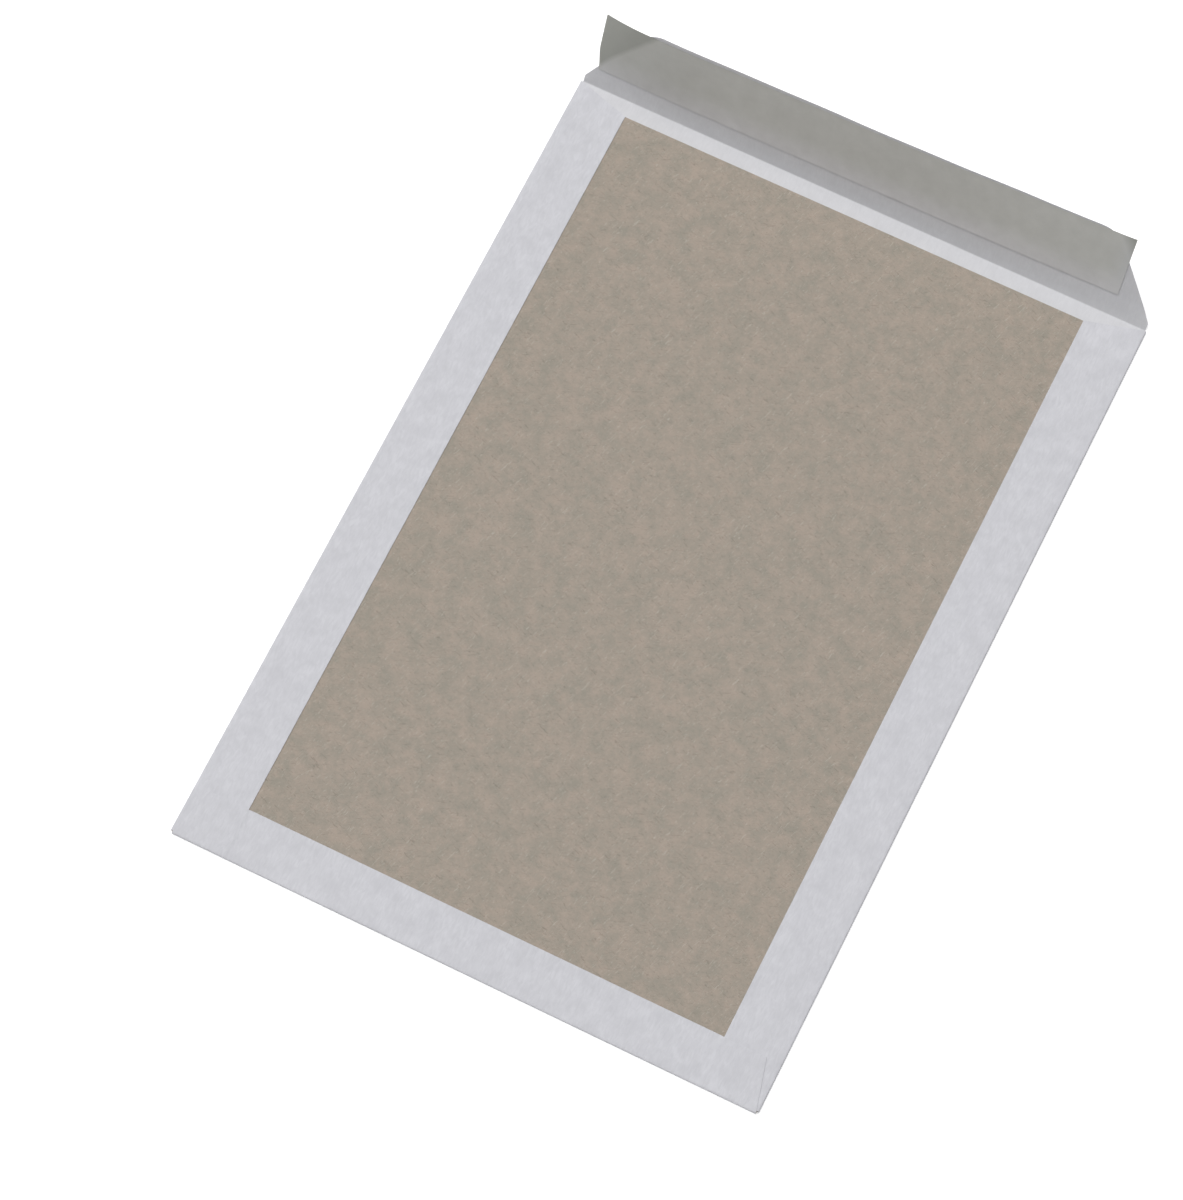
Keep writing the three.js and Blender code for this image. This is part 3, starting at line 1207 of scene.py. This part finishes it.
@dataclass
class ReleaseLiner:
    """The release liner: past the adhesive it lies lower, and past the flap it curls back.

    The lower corner of its left end is tucked in a little.
    """

    sizes: Sizes
    end_radius: float = 100.0 * MM
    margin_drop: float = 0.12 * MM
    drop_reach: float = 7.0 * MM
    end_tuck: float = 1.2 * MM
    tuck_length: float = 10.0 * MM
    tuck_start: float = 15.0 * MM
    columns: int = 260
    rows: int = 36

    def place(self, u: float, run: float, n: float) -> Vector:
        """Takes a point of the flat liner to its place on the flap.

        Args:
            u: place across the envelope.
            run: length of paper from the crease line.
            n: height above the flap's outer face.

        Returns:
            The point in the part's frame.
        """
        s = self.sizes
        depth = s.liner_edge(u) - run
        past_flap = max(abs(u) - s.flap_half_width(run), 0.0)
        curl = past_flap * past_flap / (2 * self.end_radius)
        half = s.liner_width / 2
        side_margin = smooth_share(abs(depth - half), half - self.drop_reach, half)
        end_margin = smooth_share(abs(u), s.adhesive_end, s.adhesive_end + self.drop_reach)
        drop = self.margin_drop * max(side_margin, end_margin)
        near_end = smooth_share(u - s.liner_end(Side.LEFT), self.tuck_length, 0.0)
        tuck = self.end_tuck * near_end * smooth_share(depth, self.tuck_start, s.liner_width)
        return Fold(s).on_flap(u + tuck, run, n - curl - drop)

    def build(self) -> Object:
        """Lays the liner over the adhesive.

        Returns:
            The liner.
        """
        s = self.sizes
        strip = FlapStrip(
            sizes=s,
            level=s.paper + s.stick_gap + s.adhesive + s.stick_gap,
            thickness=s.liner,
            top_depth=0.0,
            bottom_depth=s.liner_width,
            left_end=s.liner_end(Side.LEFT),
            right_end=s.liner_end(Side.RIGHT),
            columns=self.columns,
            rows=self.rows,
        )
        piece = to_object(strip.mesh(self.place), "silicone_liner", [SiliconePaper(s).build()])
        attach(piece, "root")
        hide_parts("release_liner")
        return piece


@dataclass
class SeamGlue:
    """The three bands of glue under the wraps, which keep their own form."""

    nodes: tuple[str, ...] = ("side_seam_glue_left", "side_seam_glue_right", "bottom_seam_glue")

    def dress(self) -> None:
        """Gives the bands the look of dried dispersion glue."""
        finish = Adhesive("dried_dispersion_glue", colour="e4e2da", thin_colour="d9d6cc", roughness=0.5)
        material = finish.build()
        for name in self.nodes:
            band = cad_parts[name]
            band.data.materials.clear()
            band.data.materials.append(material)


@dataclass
class Studio:
    """A pale floor, soft light from above and the camera."""

    floor_size: float = 8.0
    floor_colour: str = "f0f0f0"
    floor_glow: float = 0.4
    ambient: float = 0.25
    floor_bounce: float = 1.0
    horizon_softness: float = 0.05
    key_power: float = 587.0
    key_size: float = 6.0
    key_distance: float = 8.0
    key_direction: tuple[float, float, float] = (-0.33, 0.12, 0.93)
    camera_place: tuple[float, float, float] = (0.2592, -0.5145, 1.605)
    camera_right: tuple[float, float, float] = (0.89489, 0.44591, -0.01824)
    camera_up: tuple[float, float, float] = (-0.41501, 0.84652, 0.33344)
    lens: float = 143.48

    @staticmethod
    def seen_directly(tree: NodeTree) -> Node:
        """Tells what is seen from what only gives light.

        Args:
            tree: the node tree of the world or of a material.

        Returns:
            A node that gives 1 for what is seen directly, in gloss or through glass, else 0.
        """
        path = add_node(tree, "LightPath").outputs
        rays = path["Is Camera Ray"]
        for kind in ("Is Glossy Ray", "Is Transmission Ray"):
            rays = add_node(tree, "Math", {0: rays, 1: path[kind]}, operation="MAXIMUM")
        return rays

    def build_world(self) -> None:
        """White all round to the eye, and a soft light on the object from above and off the floor."""
        world = bpy.data.worlds.new("studio")
        bpy.context.scene.world = world
        world.use_nodes = True
        tree = world.node_tree
        tree.nodes.clear()
        heading = add_node(tree, "TexCoord").outputs["Generated"]
        height = add_node(tree, "SeparateXYZ", {"Vector": heading}).outputs["Z"]
        horizon = {"From Min": -self.horizon_softness, "From Max": self.horizon_softness}
        levels = {"To Min": self.floor_bounce, "To Max": self.ambient}
        soft = add_node(tree, "MapRange", {"Value": height, **horizon, **levels})
        shares = {"Value": self.seen_directly(tree), "To Min": soft, "To Max": 1.0}
        strength = add_node(tree, "MapRange", shares)
        light = add_node(tree, "Background", {"Color": (1.0, 1.0, 1.0, 1.0), "Strength": strength})
        add_node(tree, "OutputWorld", {"Surface": light})

    def build_floor(self) -> None:
        """A pale floor that shows the object's shadow, and lets the underside be seen and lit."""
        bm = unit_grid(1, 1)
        bmesh.ops.scale(bm, vec=(self.floor_size, self.floor_size, 1.0), verts=bm.verts)
        mesh = bpy.data.meshes.new("studio_floor")
        bm.to_mesh(mesh)
        bm.free()
        floor = link_object("studio_floor", mesh)
        floor.visible_diffuse = False
        floor.visible_shadow = False
        material, tree = new_material("pale_studio_floor")
        matt = add_node(tree, "BsdfDiffuse", {"Color": hex_colour(self.floor_colour)})
        seen = {0: self.seen_directly(tree), 1: self.floor_glow}
        glow = add_node(tree, "Emission", {"Strength": add_node(tree, "Math", seen, operation="MULTIPLY")})
        both = add_node(tree, "AddShader", {0: matt, 1: glow})
        clear = add_node(tree, "BsdfTransparent")
        below = add_node(tree, "NewGeometry").outputs["Backfacing"]
        surface = add_node(tree, "MixShader", {0: below, 1: both, 2: clear})
        add_node(tree, "OutputMaterial", {"Surface": surface})
        mesh.materials.append(material)

    def build_key_light(self) -> None:
        """A large soft light high above, from the left."""
        data = bpy.data.lights.new("soft_key", "AREA")
        data.shape = "SQUARE"
        data.size = self.key_size
        data.energy = self.key_power
        direction = Vector(self.key_direction).normalized()
        lamp = link_object("soft_key", data)
        lamp.location = direction * self.key_distance
        lamp.rotation_euler = direction.to_track_quat("Z", "Y").to_euler()

    def build_camera(self) -> None:
        """The camera at the photographed angle."""
        data = bpy.data.cameras.new("camera")
        data.lens = self.lens
        camera = link_object("camera", data)
        right = Vector(self.camera_right)
        up = Vector(self.camera_up)
        turn = Matrix((right, up, right.cross(up))).transposed()
        camera.matrix_world = Matrix.Translation(self.camera_place) @ turn.to_4x4()
        bpy.context.scene.camera = camera

    def build(self) -> None:
        """Sets up the whole studio."""
        bpy.context.scene.view_settings.view_transform = "Standard"
        self.build_camera()
        self.build_world()
        self.build_floor()
        self.build_key_light()


def main() -> None:
    """Builds the studio and then each piece, and reports each."""
    logging.basicConfig(level=logging.INFO, format="%(name)s: %(message)s")
    Studio().build()
    sizes = Sizes.from_frame()
    pieces = [
        BackBoard().build(),
        PaperCover(sizes).build(),
        FlapAdhesive(sizes).build(),
        ReleaseLiner(sizes).build(),
    ]
    SeamGlue().dress()
    for piece in pieces:
        log.info("%s: %d faces", piece.name, len(piece.data.polygons))


if __name__ == "__main__":
    main()
